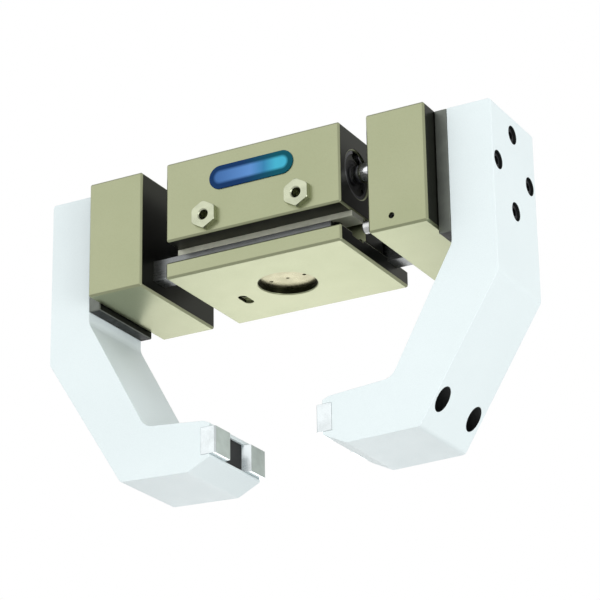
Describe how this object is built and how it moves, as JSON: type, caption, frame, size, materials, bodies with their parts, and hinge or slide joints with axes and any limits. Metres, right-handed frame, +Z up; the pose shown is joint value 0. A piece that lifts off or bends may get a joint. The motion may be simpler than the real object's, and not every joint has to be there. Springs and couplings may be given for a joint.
{
  "type": "pneumatic parallel gripper",
  "caption": "Two-finger long-stroke pneumatic parallel gripper with C-shaped fingers, channelled grip inserts and a rack-and-pinion that keeps the jaws centred.",
  "frame": {"origin": "centre of the top mounting face, where the robot flange or adapter sits", "axes": "+X along the jaw stroke, towards the right-hand finger; -Y is the face with the air ports; +Z up, away from the fingers"},
  "size_m": [0.2536, 0.076, 0.1628],
  "materials": {
    "anodised": "satin hard-anodised, olive gold",
    "finger_alloy": "fine matt, clear anodised",
    "black_anodised": "satin black anodised",
    "bare_alloy": "turned",
    "ground_steel": "ground",
    "chromed_rod": "polished hard chrome",
    "tool_steel": "hardened, ground",
    "spring_steel": "oiled",
    "black_oxide": "black oxide",
    "brass": "turned",
    "bronze": "sintered, oiled",
    "nickel": "nickel plated",
    "nitrile": "matt",
    "guide_plastic": "filled PTFE",
    "magnet": "sintered",
    "label_blue": "gloss film"
  },
  "bodies": {
    "housing": {"housing_block": "anodised", "base_plate": "anodised", "guide_strips": "ground_steel", "guide_strip_screws": "black_oxide", "tie_screws": "black_oxide", "base_dowels": "ground_steel", "front_cylinder_head": "anodised", "rear_cylinder_head": "anodised", "head_seals": "nitrile", "head_circlips": "spring_steel", "rod_bushes": "bronze", "rod_seals": "nitrile", "left_port_bush": "nickel", "right_port_bush": "nickel", "name_plate": "label_blue", "grease_plug": "black_oxide", "bearing_cap": "brass", "pinion_bushes": "bronze"},
    "pinion": {"pinion_gear": "ground_steel", "pinion_axle": "ground_steel"},
    "left_jaw": {"left_jaw_block": "anodised", "left_rack_bar": "ground_steel", "left_bar_screw": "black_oxide", "left_piston_rod": "chromed_rod", "left_piston": "bare_alloy", "left_piston_seal": "nitrile", "left_piston_ring": "guide_plastic", "left_piston_magnet": "magnet", "left_piston_nut": "spring_steel", "left_rod_screw": "black_oxide", "left_adapter": "black_anodised", "left_adapter_dowels": "ground_steel", "left_finger": "finger_alloy", "left_finger_screws": "black_oxide", "left_grip_insert": "tool_steel", "left_insert_screws": "black_oxide"},
    "right_jaw": {"right_jaw_block": "anodised", "right_rack_bar": "ground_steel", "right_bar_screw": "black_oxide", "right_stop_pin": "ground_steel", "right_stop_grub_screw": "black_oxide", "right_piston_rod": "chromed_rod", "right_piston": "bare_alloy", "right_piston_seal": "nitrile", "right_piston_ring": "guide_plastic", "right_piston_magnet": "magnet", "right_piston_nut": "spring_steel", "right_rod_screw": "black_oxide", "right_adapter": "black_anodised", "right_adapter_dowels": "ground_steel", "right_finger": "finger_alloy", "right_finger_screws": "black_oxide", "right_grip_insert": "tool_steel", "right_insert_screws": "black_oxide"}
  },
  "joints": [
    {"name": "left_jaw_slide", "type": "slide", "parent": "housing", "child": "left_jaw", "axis": [-1, 0, 0], "range_m": [-0.0084, 0.016]},
    {"name": "right_jaw_slide", "type": "slide", "parent": "housing", "child": "right_jaw", "axis": [1, 0, 0], "range_m": [-0.0084, 0.016]},
    {"name": "pinion_spin", "type": "hinge", "parent": "housing", "child": "pinion", "pos_m": [0, 0, -0.05], "axis": [0, 0, 1], "range_deg": [-77, 41]}
  ],
  "couplings": [
    {"joint": "right_jaw_slide", "follows": "left_jaw_slide", "ratio": 1},
    {"joint": "pinion_spin", "follows": "left_jaw_slide", "rad_per_m": -83.333}
  ]
}
